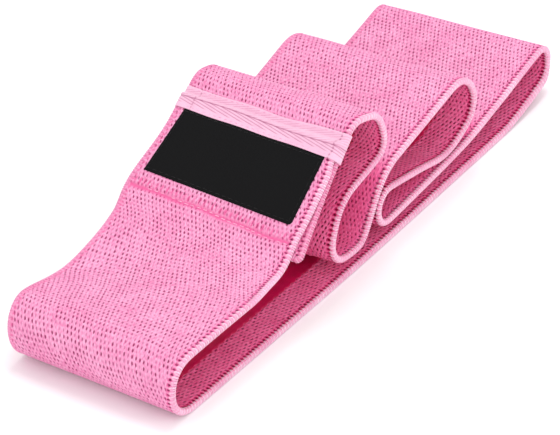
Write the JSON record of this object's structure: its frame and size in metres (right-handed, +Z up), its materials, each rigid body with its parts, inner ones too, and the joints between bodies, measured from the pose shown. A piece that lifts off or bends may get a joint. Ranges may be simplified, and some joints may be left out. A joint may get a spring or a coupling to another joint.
{
  "type": "resistance band",
  "caption": "Closed loop of wide knitted elastic for leg and hip exercises, lying folded in soft humps, with a stitched lap, twill tape and a blank woven label.",
  "frame": {"origin": "On the floor under the middle of the folded band.", "axes": "+X runs along the folded length from the tall front fold to the low back hump, +Y across the band, +Z up from the floor."},
  "size_m": [0.2916, 0.0776, 0.0691],
  "materials": {
    "knit": "heathered pink knitted elastic, matte",
    "core_rubber": "natural latex, matte",
    "grip_rubber": "crimson grip film, satin",
    "edge_thread": "pale pink overlock thread, matte",
    "tape": "pale pink herringbone twill, matte",
    "label": "black close-woven, matte",
    "black_thread": "black sewing thread",
    "pink_thread": "pink sewing thread"
  },
  "bodies": {
    "root": {"knitted_webbing": "knit", "rubber_cores": "core_rubber", "grip_lining": "grip_rubber", "near_edge_overlock": "edge_thread", "far_edge_overlock": "edge_thread", "inner_end_overlock": "edge_thread", "twill_tape": "tape", "label_patch": "label", "label_stitching": "black_thread", "tape_stitching_upper": "pink_thread", "tape_stitching_lower": "pink_thread", "lap_seam_stitching": "pink_thread"}
  },
  "joints": []
}
